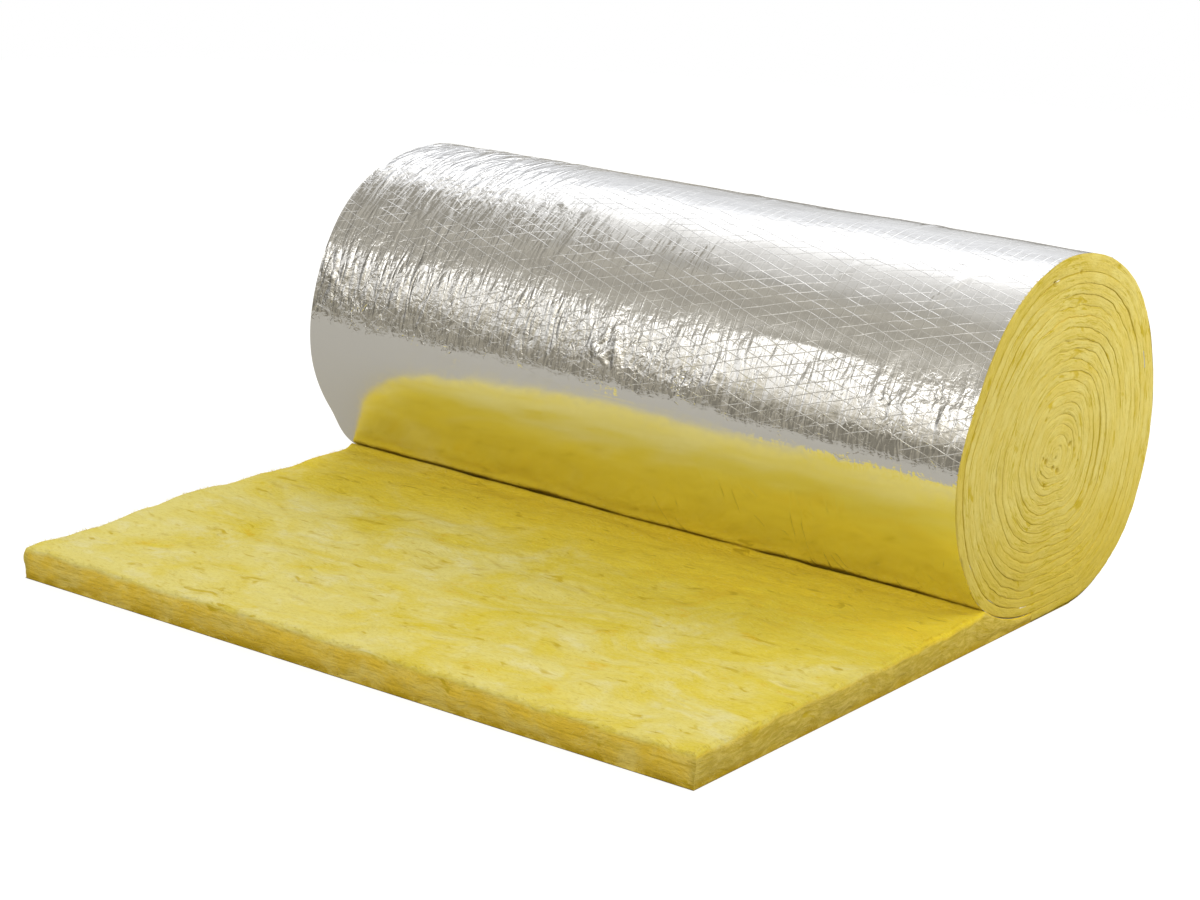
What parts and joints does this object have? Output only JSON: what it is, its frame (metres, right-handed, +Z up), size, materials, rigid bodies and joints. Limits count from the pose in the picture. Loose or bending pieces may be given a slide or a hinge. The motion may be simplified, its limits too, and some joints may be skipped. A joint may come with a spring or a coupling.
{
  "type": "insulation roll",
  "caption": "Foil-faced glass wool blanket rolled foil side out, its free end laid flat on the floor; insulates roofs, walls and ducts.",
  "frame": {"origin": "on the floor, at the middle of the box around the whole object", "axes": "+X along the roll towards the end that the picture shows, -Y towards the free end of the blanket, +Z up from the floor"},
  "size_m": [1.2, 1.241, 0.556],
  "materials": {
    "glass_wool": "soft matt yellow glass wool, fibrous, with mottled paler and deeper patches",
    "foil": "bright crinkled aluminium foil over a reinforcing scrim"
  },
  "bodies": {
    "root": {"wool_blanket": "glass_wool", "foil_facing": "foil"}
  },
  "joints": []
}
